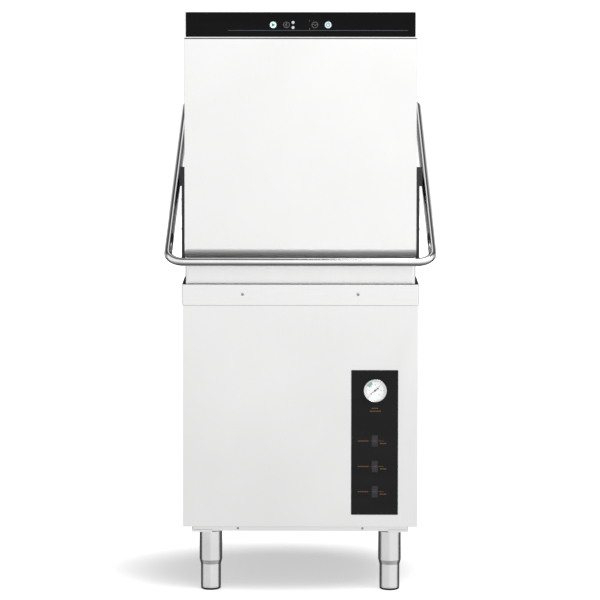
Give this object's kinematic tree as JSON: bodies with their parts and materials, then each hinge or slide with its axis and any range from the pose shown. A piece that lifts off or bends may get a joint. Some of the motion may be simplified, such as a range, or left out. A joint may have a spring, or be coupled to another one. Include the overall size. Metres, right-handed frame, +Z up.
{
  "type": "hood-type commercial dishwasher",
  "caption": "Pass-through dishwasher: a steel cabinet on legs and a box hood that a U-shaped side-arm handle raises.",
  "frame": {"origin": "on the floor, at the middle of the whole machine's box", "axes": "+Z up, +X to the right as seen from the front, front towards -Y"},
  "size_m": [0.7274, 0.8275, 1.567],
  "materials": {
    "brushed_steel": "satin brushed stainless sheet, vertical grain",
    "polished_steel": "polished stainless tube",
    "spring_steel": "zinc-plated spring wire",
    "bracket_steel": "dull folded stainless",
    "black_plastic": "satin black moulded plastic",
    "black_glass": "gloss black back-painted panel",
    "gauge_glass": "clear flat lens",
    "grey_casting": "painted grey casting"
  },
  "bodies": {
    "cabinet": {"base_frame": "brushed_steel", "leg_front_left": "brushed_steel", "leg_front_right": "brushed_steel", "leg_rear_left": "brushed_steel", "leg_rear_right": "brushed_steel", "front_panel": "brushed_steel", "side_panel_left": "brushed_steel", "side_panel_right": "brushed_steel", "rear_cover": "brushed_steel", "tank_rim": "brushed_steel", "tank_basin": "brushed_steel", "strainer_pan": "brushed_steel", "rack_track": "brushed_steel", "wash_pipe": "brushed_steel", "column_left": "brushed_steel", "column_right": "brushed_steel", "rear_splash_panel": "brushed_steel", "duct_cover": "brushed_steel", "pump_volute": "brushed_steel", "control_box": "brushed_steel", "gauge_case": "polished_steel", "spring_left": "spring_steel", "spring_right": "spring_steel", "hood_guide_left": "black_plastic", "hood_guide_right": "black_plastic", "gauge_panel": "black_plastic", "dosing_pump_block": "black_plastic", "gauge_lens": "gauge_glass", "pump_motor": "grey_casting"},
    "foot_front_left": {"foot_front_left": "brushed_steel"},
    "foot_front_right": {"foot_front_right": "brushed_steel"},
    "foot_rear_left": {"foot_rear_left": "brushed_steel"},
    "foot_rear_right": {"foot_rear_right": "brushed_steel"},
    "needle": {"gauge_needle": "black_plastic"},
    "prime_switch_1": {"prime_switch_1": "black_plastic"},
    "prime_switch_2": {"prime_switch_2": "black_plastic"},
    "prime_switch_3": {"prime_switch_3": "black_plastic"},
    "upper_wash_arm": {"upper_wash_arm": "brushed_steel"},
    "lower_wash_arm": {"lower_wash_arm": "brushed_steel"},
    "impeller": {"pump_impeller": "grey_casting"},
    "dosing_rotor_1": {"dosing_rotor_1": "grey_casting"},
    "dosing_rotor_2": {"dosing_rotor_2": "grey_casting"},
    "dosing_rotor_3": {"dosing_rotor_3": "grey_casting"},
    "scrap_basket": {"scrap_basket": "brushed_steel"},
    "overflow_pipe": {"overflow_pipe": "brushed_steel"},
    "hood": {"hood_shell": "brushed_steel", "hood_front_panel": "brushed_steel", "fascia_housing": "brushed_steel", "fascia_glass": "black_glass", "lift_bracket_left": "bracket_steel", "lift_bracket_right": "bracket_steel", "slide_block_left": "black_plastic", "slide_block_right": "black_plastic"},
    "handle": {"handle_tube": "polished_steel"},
    "roller_left": {"roller_left": "black_plastic"},
    "roller_right": {"roller_right": "black_plastic"},
    "start_button": {"start_button": "black_plastic"},
    "cycle_button": {"cycle_button": "black_plastic"},
    "drain_button": {"drain_button": "black_plastic"},
    "power_button": {"power_button": "black_plastic"}
  },
  "joints": [
    {"name": "hood_lift", "type": "slide", "parent": "cabinet", "child": "hood", "axis": [0, 0, 1], "range_m": [0, 0.44]},
    {"name": "handle_swing", "type": "hinge", "parent": "cabinet", "child": "handle", "pos_m": [0, 0.362, 1.35135], "axis": [-1, 0, 0], "range_deg": [0, 59.6], "deforming": ["spring_left", "spring_right"]},
    {"name": "roller_left_spin", "type": "hinge", "parent": "handle", "child": "roller_left", "pos_m": [-0.327, -0.02, 1.12597], "axis": [1, 0, 0], "continuous": true},
    {"name": "roller_right_spin", "type": "hinge", "parent": "handle", "child": "roller_right", "pos_m": [0.327, -0.02, 1.12597], "axis": [1, 0, 0], "continuous": true},
    {"name": "foot_front_left_screw", "type": "slide", "parent": "cabinet", "child": "foot_front_left", "axis": [0, 0, 1], "range_m": [-0.025, 0]},
    {"name": "foot_front_right_screw", "type": "slide", "parent": "cabinet", "child": "foot_front_right", "axis": [0, 0, 1], "range_m": [-0.025, 0]},
    {"name": "foot_rear_left_screw", "type": "slide", "parent": "cabinet", "child": "foot_rear_left", "axis": [0, 0, 1], "range_m": [-0.025, 0]},
    {"name": "foot_rear_right_screw", "type": "slide", "parent": "cabinet", "child": "foot_rear_right", "axis": [0, 0, 1], "range_m": [-0.025, 0]},
    {"name": "start_button_press", "type": "slide", "parent": "hood", "child": "start_button", "axis": [0, 1, 0], "range_m": [0, 0.0012], "stiffness_N_per_m": 900},
    {"name": "cycle_button_press", "type": "slide", "parent": "hood", "child": "cycle_button", "axis": [0, 1, 0], "range_m": [0, 0.0012], "stiffness_N_per_m": 900},
    {"name": "drain_button_press", "type": "slide", "parent": "hood", "child": "drain_button", "axis": [0, 1, 0], "range_m": [0, 0.0012], "stiffness_N_per_m": 900},
    {"name": "power_button_press", "type": "slide", "parent": "hood", "child": "power_button", "axis": [0, 1, 0], "range_m": [0, 0.0012], "stiffness_N_per_m": 900},
    {"name": "prime_switch_1_rock", "type": "hinge", "parent": "cabinet", "child": "prime_switch_1", "pos_m": [0.2013, -0.3293, 0.414], "axis": [1, 0, 0], "range_deg": [-8, 8], "stiffness_Nm_per_rad": 0.5},
    {"name": "prime_switch_2_rock", "type": "hinge", "parent": "cabinet", "child": "prime_switch_2", "pos_m": [0.2013, -0.3293, 0.345], "axis": [1, 0, 0], "range_deg": [-8, 8], "stiffness_Nm_per_rad": 0.5},
    {"name": "prime_switch_3_rock", "type": "hinge", "parent": "cabinet", "child": "prime_switch_3", "pos_m": [0.2013, -0.3293, 0.2766], "axis": [1, 0, 0], "range_deg": [-8, 8], "stiffness_Nm_per_rad": 0.5},
    {"name": "needle_turn", "type": "hinge", "parent": "cabinet", "child": "needle", "pos_m": [0.2018, -0.3373, 0.551], "axis": [0, 1, 0], "range_deg": [0, 270], "stiffness_Nm_per_rad": 0.002},
    {"name": "upper_wash_arm_spin", "type": "hinge", "parent": "cabinet", "child": "upper_wash_arm", "pos_m": [0, 0.01, 1.342], "axis": [0, 0, 1], "continuous": true},
    {"name": "lower_wash_arm_spin", "type": "hinge", "parent": "cabinet", "child": "lower_wash_arm", "pos_m": [0, 0.01, 0.802], "axis": [0, 0, 1], "continuous": true},
    {"name": "impeller_spin", "type": "hinge", "parent": "cabinet", "child": "impeller", "pos_m": [-0.022, 0.08, 0.38], "axis": [1, 0, 0], "continuous": true},
    {"name": "dosing_rotor_1_spin", "type": "hinge", "parent": "cabinet", "child": "dosing_rotor_1", "pos_m": [-0.23, -0.247, 0.31], "axis": [0, 1, 0], "continuous": true},
    {"name": "dosing_rotor_2_spin", "type": "hinge", "parent": "cabinet", "child": "dosing_rotor_2", "pos_m": [-0.16, -0.247, 0.31], "axis": [0, 1, 0], "continuous": true},
    {"name": "dosing_rotor_3_spin", "type": "hinge", "parent": "cabinet", "child": "dosing_rotor_3", "pos_m": [-0.09, -0.247, 0.31], "axis": [0, 1, 0], "continuous": true},
    {"name": "scrap_basket_lift", "type": "slide", "parent": "cabinet", "child": "scrap_basket", "axis": [0, 0, 1], "range_m": [0, 0.15]},
    {"name": "overflow_pipe_lift", "type": "slide", "parent": "cabinet", "child": "overflow_pipe", "axis": [0, 0, 1], "range_m": [0, 0.15]}
  ],
  "couplings": [
    {"joint": "handle_swing", "follows": "hood_lift", "rad_per_m": 2.3594}
  ]
}
